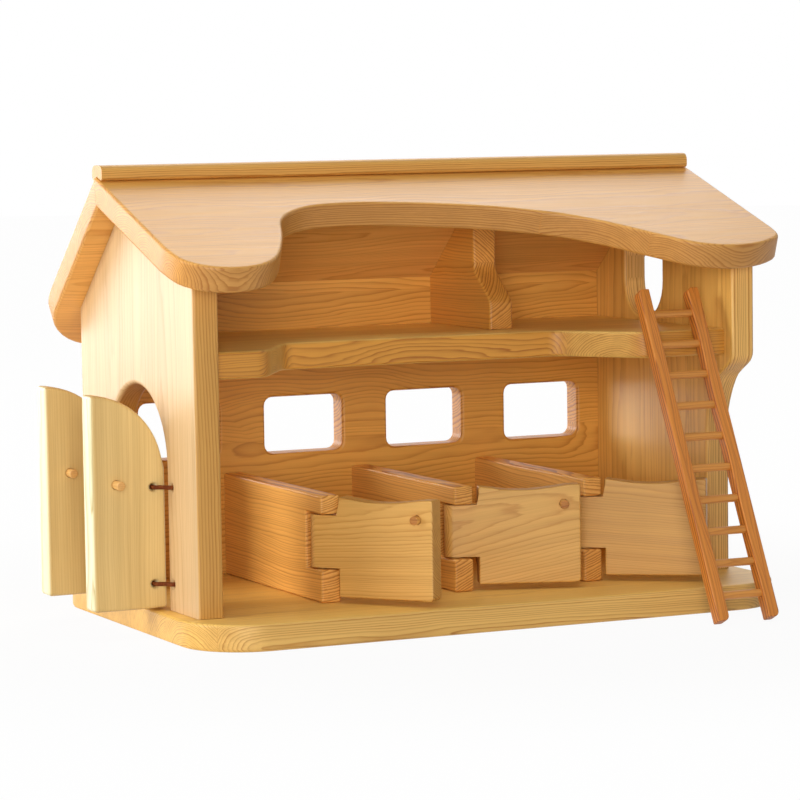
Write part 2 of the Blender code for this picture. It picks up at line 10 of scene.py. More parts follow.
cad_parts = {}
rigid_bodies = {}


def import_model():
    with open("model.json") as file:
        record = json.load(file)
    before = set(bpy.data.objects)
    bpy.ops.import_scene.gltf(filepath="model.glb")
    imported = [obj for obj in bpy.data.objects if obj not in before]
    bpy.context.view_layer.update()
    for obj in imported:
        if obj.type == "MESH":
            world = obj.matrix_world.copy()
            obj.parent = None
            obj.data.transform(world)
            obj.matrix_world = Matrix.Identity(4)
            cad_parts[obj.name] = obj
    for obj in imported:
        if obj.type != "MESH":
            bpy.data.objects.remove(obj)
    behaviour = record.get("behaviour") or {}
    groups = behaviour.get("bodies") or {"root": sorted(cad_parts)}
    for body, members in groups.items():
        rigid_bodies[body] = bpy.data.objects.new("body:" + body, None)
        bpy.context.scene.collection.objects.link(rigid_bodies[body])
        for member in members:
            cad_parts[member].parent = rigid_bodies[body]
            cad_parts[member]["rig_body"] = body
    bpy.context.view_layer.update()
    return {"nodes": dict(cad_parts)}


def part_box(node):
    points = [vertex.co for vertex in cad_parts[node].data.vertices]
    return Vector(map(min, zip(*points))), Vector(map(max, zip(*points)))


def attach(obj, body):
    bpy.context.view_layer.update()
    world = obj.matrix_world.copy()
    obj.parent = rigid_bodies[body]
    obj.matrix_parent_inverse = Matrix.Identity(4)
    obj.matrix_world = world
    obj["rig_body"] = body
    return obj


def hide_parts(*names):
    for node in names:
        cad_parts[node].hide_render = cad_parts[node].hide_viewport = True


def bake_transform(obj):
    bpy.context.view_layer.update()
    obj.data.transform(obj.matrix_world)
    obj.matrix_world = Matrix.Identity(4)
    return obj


bl_info = {
    "name": "Toy barn",
    "version": (1, 0, 0),
    "blender": (4, 5, 0),
    "location": "View3D > Sidebar > Toy barn",
    "description": "Dresses the toy barn's parts in wood and leather and sets its stage",
    "category": "Object",
}

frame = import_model()

X, Y, Z = Vector((1, 0, 0)), Vector((0, 1, 0)), Vector((0, 0, 1))
SIZES = {"unit": "LENGTH", "precision": 5}

# where the doors, gates and roof boards stand, in the part's frame
DOOR_CORNER_X, DOOR_CORNER_Y = -0.209, 0.053
GATE_TURNS = (52, 20, 35)
GATE_GRAIN_LEANS = (2.0, 9.0, -3.0)
FRONT_PITCH, REAR_PITCH = 19, 40
RUNGS = 10
WHOLE_BOARD = 0.2

# the pine figure: metres for lengths, shares of one for the rest
FINE_WAVER = 0.0006
KNOT_SWELL = 0.009
RING_WANDER = 3.0
LINE_SHARPNESS = 3.4
LATE_EDGE = 0.86
CUT_STRENGTH = 1.5
SEAM_WIDTH = 0.00035
RELIEF = 0.0003
PALEST = 0.95
OIL_IN_END_GRAIN = (0.62, 0.45, 0.30, 1.0)

# the stage
FLOOR_RADIUS = 9.0
FLOOR_NEAR, FLOOR_FAR = (0.30, 0.94), (0.60, 0.985)
CAMERA_PLACE = (-1.0211, -2.1437, 0.3478)
CAMERA_AZIMUTH, CAMERA_ELEVATION, CAMERA_ROLL = 25.18, 4.93, 0.83


# ---------------------------------------------------------------- settings

class WoodSettings(bpy.types.PropertyGroup):
    early: bpy.props.FloatVectorProperty(name="Early wood", description="Pale wood between the ring lines",
        subtype="COLOR", size=3, min=0, max=1, default=(0.730, 0.385, 0.100))
    late: bpy.props.FloatVectorProperty(name="Late wood", description="Dark edge of each growth ring",
        subtype="COLOR", size=3, min=0, max=1, default=(0.450, 0.170, 0.026))
    pale: bpy.props.FloatVectorProperty(name="Pale early wood", description="Early wood of the gable, roof and doors",
        subtype="COLOR", size=3, min=0, max=1, default=(0.770, 0.450, 0.150))
    pale_late: bpy.props.FloatVectorProperty(name="Pale late wood",
        description="Late wood of the gable, roof and doors", subtype="COLOR", size=3, min=0, max=1, default=(0.560,
        0.260, 0.055))
    red: bpy.props.FloatVectorProperty(name="Ladder wood", description="Early wood of the ladder's rails",
        subtype="COLOR", size=3, min=0, max=1, default=(0.560, 0.230, 0.058))
    red_late: bpy.props.FloatVectorProperty(name="Ladder streaks", description="Late wood of the ladder's rails",
        subtype="COLOR", size=3, min=0, max=1, default=(0.270, 0.075, 0.015))
    strip: bpy.props.FloatProperty(name="Strip width", description="Width of the strips that a board is glued from",
        default=0.046, min=0.01, **SIZES)
    ring: bpy.props.FloatProperty(name="Ring spacing", description="Distance between growth rings", default=0.0019,
        min=0.0005, **SIZES)
    crease: bpy.props.FloatProperty(name="Smooth below",
        description="Edges that turn by less than this are shaded smooth", subtype="ANGLE", default=math.radians(50),
        min=0, max=math.pi)


class LeatherSettings(bpy.types.PropertyGroup):
    colour: bpy.props.FloatVectorProperty(name="Leather", description="Colour of the thongs", subtype="COLOR", size=3,
        min=0, max=1, default=(0.150, 0.030, 0.006))
    worn: bpy.props.FloatVectorProperty(name="Worn leather", description="Colour where the thongs are rubbed",
        subtype="COLOR", size=3, min=0, max=1, default=(0.260, 0.070, 0.014))
    thickness: bpy.props.FloatProperty(name="Thickness", description="Thong's diameter", default=0.0028, min=0.0005,
        **SIZES)
    inset: bpy.props.FloatProperty(name="Inset", description="From the hinge corner to the thong's holes",
        default=0.009, min=0.002, **SIZES)
    sink: bpy.props.FloatProperty(name="Countersink", description="Depth of the countersink at each hole",
        default=0.0025, min=0, **SIZES)
    bow: bpy.props.FloatProperty(name="Bow", description="How far the thong's bend is drawn in", default=0.0035,
        min=0, **SIZES)


class LadderSettings(bpy.types.PropertyGroup):
    rung_thickness: bpy.props.FloatProperty(name="Rung thickness", description="A rung's diameter", default=0.0055,
        min=0.001, **SIZES)
    rung_seat: bpy.props.FloatProperty(name="Rung seat", description="How deep a rung sits in its rail",
        default=0.005, min=0, **SIZES)
    lean: bpy.props.FloatProperty(name="Lean", description="The ladder's angle from upright", subtype="ANGLE",
        default=math.radians(26.2), min=0, max=math.pi / 2)


class StageSettings(bpy.types.PropertyGroup):
    floor: bpy.props.FloatVectorProperty(name="Floor", description="Floor's colour", subtype="COLOR", size=3, min=0,
        max=1, default=(0.86, 0.84, 0.81))
    key: bpy.props.FloatProperty(name="Key light", description="Power of the lamp from the left", subtype="POWER",
        default=35, min=0)
    fill: bpy.props.FloatProperty(name="Fill light", description="Power of the lamp beside the camera",
        subtype="POWER", default=30, min=0)
    rim: bpy.props.FloatProperty(name="Side light", description="Power of the lamp from the left and behind",
        subtype="POWER", default=35, min=0)
    back: bpy.props.FloatProperty(name="Back light", description="Power of the lamp behind the roof", subtype="POWER",
        default=12, min=0)
    top: bpy.props.FloatProperty(name="Top light", description="Power of the lamp overhead", subtype="POWER",
        default=10, min=0)
    sky: bpy.props.FloatProperty(name="Room light", description="Strength of the light from all round", default=0.13,
        min=0)
    lens: bpy.props.FloatProperty(name="Lens", description="Focal length in millimetres", subtype="DISTANCE_CAMERA",
        default=153.97, min=1)


GROUPS = {"barn_wood": WoodSettings, "barn_leather": LeatherSettings, "barn_ladder": LadderSettings,
    "barn_stage": StageSettings}


# ---------------------------------------------------------------- node helpers

class Nodes:
    """Adds nodes to a tree and joins them."""

    def __init__(self, tree):
        self.tree = tree

    def put(self, socket, value):
        if isinstance(value, bpy.types.NodeSocket):
            self.tree.links.new(value, socket)
        else:
            socket.default_value = value

    def add(self, kind, *values, **fields):
        node = self.tree.nodes.new(kind)
        for key, value in fields.items():
            setattr(node, key, value)
        for i, value in enumerate(values):
            if value is not None:
                self.put(node.inputs[i], value)
        return node

    def math(self, operation, *values, clamp=False):
        return self.add("ShaderNodeMath", *values, operation=operation, use_clamp=clamp).outputs[0]

    def apart(self, vector):
        return self.add("ShaderNodeSeparateXYZ", vector).outputs

    def together(self, *values):
        return self.add("ShaderNodeCombineXYZ", *values).outputs[0]

    def ramp(self, value, low, high, to_low=0.0, to_high=1.0):
        node = self.add("ShaderNodeMapRange", value, low, high, to_low, to_high, clamp=True,
            interpolation_type="SMOOTHSTEP")
        return node.outputs[0]

    def noise(self, vector, scale=1.0, detail=2.0, rough=0.5):
        node = self.add("ShaderNodeTexNoise", noise_dimensions="3D")
        self.put(node.inputs["Vector"], vector)
        node.inputs["Scale"].default_value = scale
        node.inputs["Detail"].default_value = detail
        node.inputs["Roughness"].default_value = rough
        return node.outputs["Fac"]

    def random(self, vector):
        node = self.add("ShaderNodeTexWhiteNoise", vector, noise_dimensions="3D")
        return self.apart(node.outputs["Color"])

    def mix(self, fac, a, b, blend="MIX"):
        node = self.add("ShaderNodeMix", data_type="RGBA", blend_type=blend)
        self.put(node.inputs[0], fac)
        self.put(node.inputs[6], a)
        self.put(node.inputs[7], b)
        return node.outputs[2]


def rgba(colour):
    return (*colour, 1.0)


def wood_figure():
    """The group that draws glued strips of pine, from a place along, across and through the board."""
    name = "Pine figure"
    if name in bpy.data.node_groups:
        return bpy.data.node_groups[name]
    tree = bpy.data.node_groups.new(name, "ShaderNodeTree")
    sockets = [("Place", "NodeSocketVector", (0, 0, 0)), ("Facing", "NodeSocketVector", (0, 0, 1)), ("Early",
        "NodeSocketColor", (0.7, 0.4, 0.15, 1)),
               ("Late", "NodeSocketColor", (0.4, 0.2, 0.05, 1)), ("Edge tone and painted light", "NodeSocketColor", (1, 1, 1,
                   1)), ("Strip width", "NodeSocketFloat", 0.046), ("Strip shift", "NodeSocketFloat", 0.0),
               ("Seed", "NodeSocketFloat", 0.0), ("Ring spacing", "NodeSocketFloat", 0.0026), ("Heart offset",
                   "NodeSocketFloat", 1.3), ("Sway", "NodeSocketFloat", 0.030), ("Heart depth", "NodeSocketFloat",
                   0.03),
               ("Heart drift", "NodeSocketFloat", 0.05), ("Waver", "NodeSocketFloat", 0.003), ("Line strength",
                   "NodeSocketFloat", 0.6),
               ("Strip tint", "NodeSocketFloat", 0.12), ("End grain", "NodeSocketFloat", 0.3), ("Knots",
                   "NodeSocketFloat", 0.0)]
    for label, kind, value in sockets:
        socket = tree.interface.new_socket(name=label, in_out="INPUT", socket_type=kind)
        socket.default_value = value
    for label, kind in (("Colour", "NodeSocketColor"), ("Roughness", "NodeSocketFloat"), ("Height",
        "NodeSocketFloat")):
        tree.interface.new_socket(name=label, in_out="OUTPUT", socket_type=kind)
    n = Nodes(tree)
    given = tree.nodes.new("NodeGroupInput").outputs
    result = tree.nodes.new("NodeGroupOutput")
    along, across, through = n.apart(given["Place"])

    # which strip a point is in, and that strip's own heart, slope and tint
    shifted = n.math("ADD", across, given["Strip shift"])
    strip = n.math("FLOOR", n.math("DIVIDE", shifted, given["Strip width"]))
    middle = n.math("MULTIPLY", n.math("ADD", strip, 0.5), given["Strip width"])
    local = n.math("SUBTRACT", shifted, middle)
    r1, r2, r3 = n.random(n.together(strip, given["Seed"], 1.7))
    r4, _, _ = n.random(n.together(strip, given["Seed"], 9.3))
    heart_across = n.math("MULTIPLY", n.math("SUBTRACT", r1, 0.5), n.math("MULTIPLY", given["Strip width"],
        given["Heart offset"]))
    depth = n.math("MULTIPLY", given["Heart depth"], n.math("ADD", 0.45, r2))
    slope = n.math("MULTIPLY", n.math("SUBTRACT", r3, 0.5), n.math("MULTIPLY", given["Heart drift"], 2.0))
    sway = n.noise(n.together(n.math("MULTIPLY", along, 7.0), n.math("MULTIPLY", strip, 3.1), given["Seed"]), 1.0,
        1.0)
    sway = n.math("MULTIPLY", n.math("SUBTRACT", sway, 0.5), given["Sway"])
    a = n.math("SUBTRACT", n.math("SUBTRACT", local, heart_across), sway)
    drifted = n.math("ADD", depth, n.math("MULTIPLY", along, slope))
    b = n.math("ADD", through, drifted)

    # knots: the rings swell round a few points of the face
    spot = n.add("ShaderNodeTexVoronoi", voronoi_dimensions="2D", feature="F1")
    n.put(spot.inputs["Vector"], n.together(n.math("MULTIPLY", along, 7.0), n.math("ADD", n.math("MULTIPLY", across,
        13.0), given["Seed"]), 0.0))
    spot.inputs["Scale"].default_value = 1.0
    knot = n.ramp(spot.outputs["Distance"], 0.0, 0.34, 1.0, 0.0)
    knot = n.math("MULTIPLY", knot, given["Knots"])

    # the distance from the heart, stirred a little
    radius = n.math("SQRT", n.math("ADD", n.math("MULTIPLY", a, a), n.math("MULTIPLY", b, b)))
    stir = n.noise(n.together(n.math("MULTIPLY", along, 14.0), n.math("MULTIPLY", across, 55.0), n.math("ADD",
        n.math("MULTIPLY", through, 55.0), given["Seed"])), 1.0, 2.0)
    radius = n.math("ADD", radius, n.math("MULTIPLY", n.math("SUBTRACT", stir, 0.5), given["Waver"]))
    fine = n.noise(n.together(n.math("MULTIPLY", along, 60.0), n.math("MULTIPLY", across, 420.0), n.math("MULTIPLY",
        through, 420.0)), 1.0, 1.0)
    radius = n.math("ADD", radius, n.math("MULTIPLY", n.math("SUBTRACT", fine, 0.5), FINE_WAVER))
    radius = n.math("ADD", radius, n.math("MULTIPLY", knot, KNOT_SWELL))
    rings = n.math("DIVIDE", radius, given["Ring spacing"])
    spread = n.noise(n.together(n.math("MULTIPLY", rings, 0.23), strip, given["Seed"]), 1.0, 0.0)
    rings = n.math("ADD", rings, n.math("MULTIPLY", spread, RING_WANDER))
    part = n.math("FRACT", rings)
    ring = n.math("FLOOR", rings)
    own, _, _ = n.random(n.together(ring, strip, given["Seed"]))
    rise = n.math("POWER", part, LINE_SHARPNESS)
    fall = n.ramp(part, LATE_EDGE, 1.0, 1.0, 0.0)
    line = n.math("MULTIPLY", n.math("MULTIPLY", rise, fall), n.math("ADD", 0.75, n.math("MULTIPLY", own, 0.70)))
    facing_along, facing_across, _ = n.apart(given["Facing"])
    at_edge = n.ramp(n.math("ABSOLUTE", facing_across), 0.35, 0.85)
    facing = n.math("ABSOLUTE", facing_along)
    cut = n.math("MAXIMUM", at_edge, n.ramp(facing, 0.35, 0.95))
    line = n.math("MULTIPLY", line, n.math("ADD", 1.0, n.math("MULTIPLY", cut, CUT_STRENGTH)))
    line = n.math("MULTIPLY", line, given["Line strength"], clamp=True)

    # fibres and broad unevenness
    fibre = n.noise(n.together(n.math("MULTIPLY", along, 26.0), n.math("MULTIPLY", across, 1500.0), n.math("MULTIPLY",
        through, 1500.0)), 1.0, 2.0, 0.6)
    streak = n.noise(n.together(n.math("MULTIPLY", along, 5.0), n.math("MULTIPLY", across, 170.0), n.math("ADD",
        n.math("MULTIPLY", through, 170.0), given["Seed"])), 1.0, 2.0)
    cloud = n.noise(n.together(n.math("MULTIPLY", along, 6.0), n.math("MULTIPLY", across, 22.0), n.math("ADD",
        n.math("MULTIPLY", through, 22.0), given["Seed"])), 1.0, 2.0)
    base = n.mix(line, given["Early"], given["Late"])
    tint = n.math("ADD", 1.0, n.math("MULTIPLY", n.math("SUBTRACT", r4, 0.5), given["Strip tint"]))
    light = n.math("MULTIPLY", tint, n.ramp(fibre, 0.2, 0.8, 0.955, 1.035))
    light = n.math("MULTIPLY", light, n.ramp(streak, 0.25, 0.75, 0.94, 1.05))
    light = n.math("MULTIPLY", light, n.ramp(cloud, 0.25, 0.75, 0.95, 1.05))
    bundle = n.math("POWER", light, 1.25)
    strong = n.math("POWER", light, 1.7)
    base = n.mix(1.0, base, n.add("ShaderNodeCombineColor", light, bundle, strong).outputs[0], "MULTIPLY")
    core = n.ramp(knot, 0.62, 0.9, 0.0, 0.75)
    base = n.mix(core, base, given["Late"])

    # edges across the grain get their own tone: partly the wood's own, partly painted light, a painted sheen on
    # edges facing the lamps or a darker edge beside faces painted pale. End grain drinks more oil and is darker,
    # and a glue line shows between strips
    base = n.mix(at_edge, base, n.mix(1.0, base, given["Edge tone and painted light"], "MULTIPLY"))
    end = n.math("MULTIPLY", n.ramp(facing, 0.35, 0.95), given["End grain"])
    base = n.mix(end, base, n.mix(1.0, base, OIL_IN_END_GRAIN, "MULTIPLY"))
    edge = n.math("SUBTRACT", n.math("MULTIPLY", given["Strip width"], 0.5), n.math("ABSOLUTE", local))
    seam = n.ramp(edge, 0.0, SEAM_WIDTH, 0.35, 0.0)
    base = n.mix(seam, base, given["Late"])

    rough = n.math("ADD", n.ramp(fibre, 0.2, 0.8, 0.40, 0.50), n.math("MULTIPLY", end, 0.15))
    rough = n.math("SUBTRACT", rough, n.math("MULTIPLY", line, 0.06))
    height = n.math("ADD", n.math("MULTIPLY", fibre, 0.45), n.math("MULTIPLY", line, 0.55))
    height = n.math("SUBTRACT", height, n.math("MULTIPLY", seam, 0.8))
    n.put(result.inputs["Colour"], base)
    n.put(result.inputs["Roughness"], rough)
    n.put(result.inputs["Height"], height)
    return tree


def wood(name, along, across, centre, early=None, late=None, tone=(1, 1, 1), edge=(1, 1, 1), bump=0.25, **values):
    """A wood whose fibres run along one direction and whose strips lie side by side across it."""
    settings = bpy.context.scene.barn_wood
    mat = bpy.data.materials.new(name)
    mat.use_nodes = True
    tree = mat.node_tree
    tree.nodes.clear()
    n = Nodes(tree)
    along, across = Vector(along).normalized(), Vector(across).normalized()
    turn = Matrix((along, across, along.cross(across)))
    angles = turn.to_euler()
    coords = tree.nodes.new("ShaderNodeTexCoord")
    place = n.add("ShaderNodeMapping", coords.outputs["Object"], vector_type="POINT")
    place.inputs["Rotation"].default_value = angles
    place.inputs["Location"].default_value = -(turn @ Vector(centre))
    facing = n.add("ShaderNodeMapping", coords.outputs["Normal"], vector_type="VECTOR")
    facing.inputs["Rotation"].default_value = angles
    figure = n.add("ShaderNodeGroup", node_tree=wood_figure())
    n.put(figure.inputs["Place"], place.outputs[0])
    n.put(figure.inputs["Facing"], facing.outputs[0])
    # the tones are set per piece; on the base, the loft floor, the left gable and the doors' edges they paint light and
    # sheen in, beside the wood's own colour
    early = [min(c * t, PALEST) for c, t in zip(early or settings.early, tone)]
    late = [c * t for c, t in zip(late or settings.late, tone)]
    given = {"Early": rgba(early), "Late": rgba(late), "Edge tone and painted light": rgba(edge), "Strip width": settings.strip,
        "Ring spacing": settings.ring}
    given.update({key.replace("_", " ").capitalize(): value for key, value in values.items()})
    for key, value in given.items():
        figure.inputs[key].default_value = value
    shader = tree.nodes.new("ShaderNodeBsdfPrincipled")
    n.put(shader.inputs["Base Color"], figure.outputs["Colour"])
    n.put(shader.inputs["Roughness"], figure.outputs["Roughness"])
    shader.inputs["IOR"].default_value = 1.48
    relief = tree.nodes.new("ShaderNodeBump")
    relief.inputs["Strength"].default_value = bump
    relief.inputs["Distance"].default_value = RELIEF
    n.put(relief.inputs["Height"], figure.outputs["Height"])
    n.put(shader.inputs["Normal"], relief.outputs[0])
    out = tree.nodes.new("ShaderNodeOutputMaterial")
    n.put(out.inputs[0], shader.outputs[0])
    return mat


def leather(name):
    """Brown leather lace: fine pores, rubbed ridges and creases, on Object coordinates."""
    settings = bpy.context.scene.barn_leather
    mat = bpy.data.materials.new(name)
    mat.use_nodes = True
    tree = mat.node_tree
    tree.nodes.clear()
    n = Nodes(tree)
    place = tree.nodes.new("ShaderNodeTexCoord").outputs["Object"]
    worn = n.noise(place, 420.0, 3.0, 0.6)
    pores = n.add("ShaderNodeTexVoronoi", voronoi_dimensions="3D", feature="DISTANCE_TO_EDGE")
    n.put(pores.inputs["Vector"], place)
    pores.inputs["Scale"].default_value = 2600.0
    skin = n.ramp(pores.outputs["Distance"], 0.0, 0.12)
    colour = n.mix(n.ramp(worn, 0.42, 0.68), rgba(settings.colour), rgba(settings.worn))
    colour = n.mix(n.math("MULTIPLY", n.math("SUBTRACT", 1.0, skin), 0.4), colour,
        rgba([c * 0.45 for c in settings.colour]))
    shader = tree.nodes.new("ShaderNodeBsdfPrincipled")
    shader.inputs["Specular IOR Level"].default_value = 0.15
    n.put(shader.inputs["Base Color"], colour)
    n.put(shader.inputs["Roughness"], n.ramp(worn, 0.3, 0.7, 0.62, 0.48))
    relief = tree.nodes.new("ShaderNodeBump")
    relief.inputs["Strength"].default_value = 0.5
    relief.inputs["Distance"].default_value = 0.0002
    n.put(relief.inputs["Height"], n.math("ADD", n.math("MULTIPLY", skin, 0.5), worn))
    n.put(shader.inputs["Normal"], relief.outputs[0])
    out = tree.nodes.new("ShaderNodeOutputMaterial")
    n.put(out.inputs[0], shader.outputs[0])
    return mat


# ---------------------------------------------------------------- piece helpers

def centre_of(node):
    low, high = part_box(node)
    return (low + high) / 2


def shaded(piece, crease):
    """Smooth shading over the eased edges, with the flat faces kept flat."""
    mesh = piece.data
    mesh.shade_smooth()
    mesh.set_sharp_from_angle(angle=crease)
    weigh = piece.modifiers.new("Weighted normals", "WEIGHTED_NORMAL")
    weigh.keep_sharp = True
    weigh.weight = 100
    bake(piece)


def bake(piece):
    """Turns a piece with its modifiers into a plain mesh."""
    seen = bpy.context.evaluated_depsgraph_get()
    plain = bpy.data.meshes.new_from_object(piece.evaluated_get(seen), preserve_all_data_layers=True, depsgraph=seen)
    piece.modifiers.clear()
    piece.data = plain


def dressed(node, name, material):
    """A piece that has a CAD node's form, with its loose triangles merged and its edges shaded, in place of the node."""
    source = frame["nodes"][node]
    shape = bmesh.new()
    shape.from_mesh(source.data)
    bmesh.ops.remove_doubles(shape, verts=shape.verts, dist=2e-6)
    bmesh.ops.dissolve_limit(shape, angle_limit=math.radians(0.4), verts=shape.verts, edges=shape.edges)
    mesh = bpy.data.meshes.new(name)
    shape.to_mesh(mesh)
    shape.free()
    mesh.materials.clear()
    piece = bpy.data.objects.new(name, mesh)
    bpy.context.scene.collection.objects.link(piece)
    mesh.materials.append(material)
    shaded(piece, bpy.context.scene.barn_wood.crease)
    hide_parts(node)
    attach(piece, source["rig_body"])
    return piece


def sheet_of_nodes(name, inputs):
    """An empty Geometry Nodes tree with named inputs."""
    tree = bpy.data.node_groups.new(name, "GeometryNodeTree")
    ids = {}
    for label, kind, value in inputs:
        socket = tree.interface.new_socket(name=label, in_out="INPUT", socket_type=kind)
        if value is not None:
            socket.default_value = value
        ids[label] = socket.identifier
    tree.interface.new_socket(name="Geometry", in_out="OUTPUT", socket_type="NodeSocketGeometry")
    return tree, ids, Nodes(tree), tree.nodes.new("NodeGroupInput").outputs, tree.nodes.new("NodeGroupOutput").inputs


def grown(name, tree, ids, values):
    """A plain mesh grown by a Geometry Nodes tree."""
    piece = bpy.data.objects.new(name, bpy.data.meshes.new(name))
    bpy.context.scene.collection.objects.link(piece)
    modifier = piece.modifiers.new("Growth", "NODES")
    modifier.node_group = tree
    for label, value in values.items():
        modifier[ids[label]] = value
    piece.data.update()
    bake(piece)
    return piece


def skinned(n, sized, ring):
    """A closed tube along a curve whose points carry its radius."""
    skin = n.add("GeometryNodeCurveToMesh")
    n.put(skin.inputs["Curve"], sized.outputs[0])
    n.put(skin.inputs["Profile Curve"], ring.outputs[0])
    skin.inputs["Fill Caps"].default_value = True
    if "Scale" in skin.inputs:
        n.put(skin.inputs["Scale"], n.add("GeometryNodeInputRadius").outputs[0])
    return skin


def dowels_tree():
    """A row of round-ended dowels along a direction: Count dowels, Step apart, each Length long and Thickness thick."""
    tree, ids, n, given, out = sheet_of_nodes("Dowel row", [
        ("Count", "NodeSocketInt", 1), ("First", "NodeSocketVector", (0, 0, 0)), ("Step", "NodeSocketVector", (0, 0,
            0.02)),
        ("Turn", "NodeSocketVector", (0, 0, 0)), ("Length", "NodeSocketFloat", 0.04), ("Thickness", "NodeSocketFloat",
            0.006),
        ("Rounding", "NodeSocketFloat", 0.001), ("Sides", "NodeSocketInt", 24), ("Wood", "NodeSocketMaterial", None)])
    line = n.add("GeometryNodeMeshLine", mode="OFFSET")
    n.put(line.inputs["Count"], given["Count"])
    n.put(line.inputs["Start Location"], given["First"])
    n.put(line.inputs["Offset"], given["Step"])
    half = n.math("MULTIPLY", given["Length"], 0.5)
    stem = n.add("GeometryNodeCurvePrimitiveLine", mode="POINTS")
    n.put(stem.inputs["Start"], n.together(0.0, 0.0, n.math("MULTIPLY", half, -1.0)))
    n.put(stem.inputs["End"], n.together(0.0, 0.0, half))
    parts = n.add("GeometryNodeResampleCurve", mode="COUNT")
    n.put(parts.inputs["Curve"], stem.outputs[0])
    parts.inputs["Count"].default_value = 61
    # the end rounding: the radius falls off along a quarter circle within the rounding's length of each end
    at = n.apart(tree.nodes.new("GeometryNodeInputPosition").outputs[0])[2]
    left = n.math("SUBTRACT", half, n.math("ABSOLUTE", at))
    share = n.math("DIVIDE", left, given["Rounding"], clamp=True)
    back = n.math("SUBTRACT", 1.0, share)
    arc = n.math("SQRT", n.math("SUBTRACT", 1.0, n.math("MULTIPLY", back, back)))
    thick = n.math("MULTIPLY", given["Thickness"], 0.5)
    drawn = n.math("SUBTRACT", thick, n.math("MULTIPLY", given["Rounding"], n.math("SUBTRACT", 1.0, arc)))
    sized = n.add("GeometryNodeSetCurveRadius")
    n.put(sized.inputs["Curve"], parts.outputs[0])
    n.put(sized.inputs["Radius"], drawn)
    ring = n.add("GeometryNodeCurvePrimitiveCircle", mode="RADIUS")
    n.put(ring.inputs["Resolution"], given["Sides"])
    ring.inputs["Radius"].default_value = 1.0
    skin = skinned(n, sized, ring)
    rows = tree.nodes.new("GeometryNodeInstanceOnPoints")
    n.put(rows.inputs["Points"], line.outputs[0])
    n.put(rows.inputs["Instance"], skin.outputs[0])
    n.put(rows.inputs["Rotation"], given["Turn"])
    real = tree.nodes.new("GeometryNodeRealizeInstances")
    n.put(real.inputs[0], rows.outputs[0])
    painted = tree.nodes.new("GeometryNodeSetMaterial")
    n.put(painted.inputs["Geometry"], real.outputs[0])
    n.put(painted.inputs["Material"], given["Wood"])
    n.put(out[0], painted.outputs[0])
    return tree, ids


def lace_tree():
    """A round lace that follows a path of points and swells a little towards each end."""
    tree, ids, n, given, out = sheet_of_nodes("Lace", [
        ("Path", "NodeSocketObject", None), ("Thickness", "NodeSocketFloat", 0.0028), ("Knot swell",
            "NodeSocketFloat", 0.35),
        ("Knot share", "NodeSocketFloat", 0.09), ("Leather", "NodeSocketMaterial", None)])
    read = n.add("GeometryNodeObjectInfo", transform_space="RELATIVE")
    n.put(read.inputs["Object"], given["Path"])
    curve = n.add("GeometryNodeMeshToCurve")
    n.put(curve.inputs[0], read.outputs["Geometry"])
    fine = n.add("GeometryNodeResampleCurve", mode="COUNT")
    n.put(fine.inputs["Curve"], curve.outputs[0])
    fine.inputs["Count"].default_value = 90
    along = tree.nodes.new("GeometryNodeSplineParameter").outputs["Factor"]
    to_end = n.math("MINIMUM", along, n.math("SUBTRACT", 1.0, along))
    swell = n.math("DIVIDE", to_end, given["Knot share"], clamp=True)
    swell = n.math("SUBTRACT", 1.0, n.math("MULTIPLY", swell, swell))
    width = n.math("MULTIPLY", given["Thickness"], 0.5)
    width = n.math("MULTIPLY", width, n.math("ADD", 1.0, n.math("MULTIPLY", swell, given["Knot swell"])))
    sized = n.add("GeometryNodeSetCurveRadius")
    n.put(sized.inputs["Curve"], fine.outputs[0])
    n.put(sized.inputs["Radius"], width)
    ring = n.add("GeometryNodeCurvePrimitiveCircle", mode="RADIUS")
    ring.inputs["Resolution"].default_value = 20
    ring.inputs["Radius"].default_value = 1.0
    skin = skinned(n, sized, ring)
    real = tree.nodes.new("GeometryNodeRealizeInstances")
    n.put(real.inputs[0], skin.outputs[0])
    painted = tree.nodes.new("GeometryNodeSetMaterial")
    n.put(painted.inputs["Geometry"], real.outputs[0])
    n.put(painted.inputs["Material"], given["Leather"])
    n.put(out[0], painted.outputs[0])
    return tree, ids


# ---------------------------------------------------------------- pieces

class BARN_OT_base(bpy.types.Operator):
    """Dress the base plate"""
    bl_idname = "toy_barn.base"
    bl_label = "Base plate"

    def execute(self, context):
        # the base is toned paler all over as painted light from above on its top, and its front and back edges are
        # painted darker again
        pine = wood("base_pine", X, Y, centre_of("base_plate"), tone=(1.3, 1.6, 1.6), edge=(0.82, 0.78, 0.85),
            heart_offset=2.0, seed=3.0, ring_spacing=0.0015, strip_width=0.058, strip_shift=0.014, heart_depth=0.018,
            heart_drift=0.03, line_strength=0.5, sway=0.016)
        dressed("base_plate", "base_board", pine)
        return {"FINISHED"}


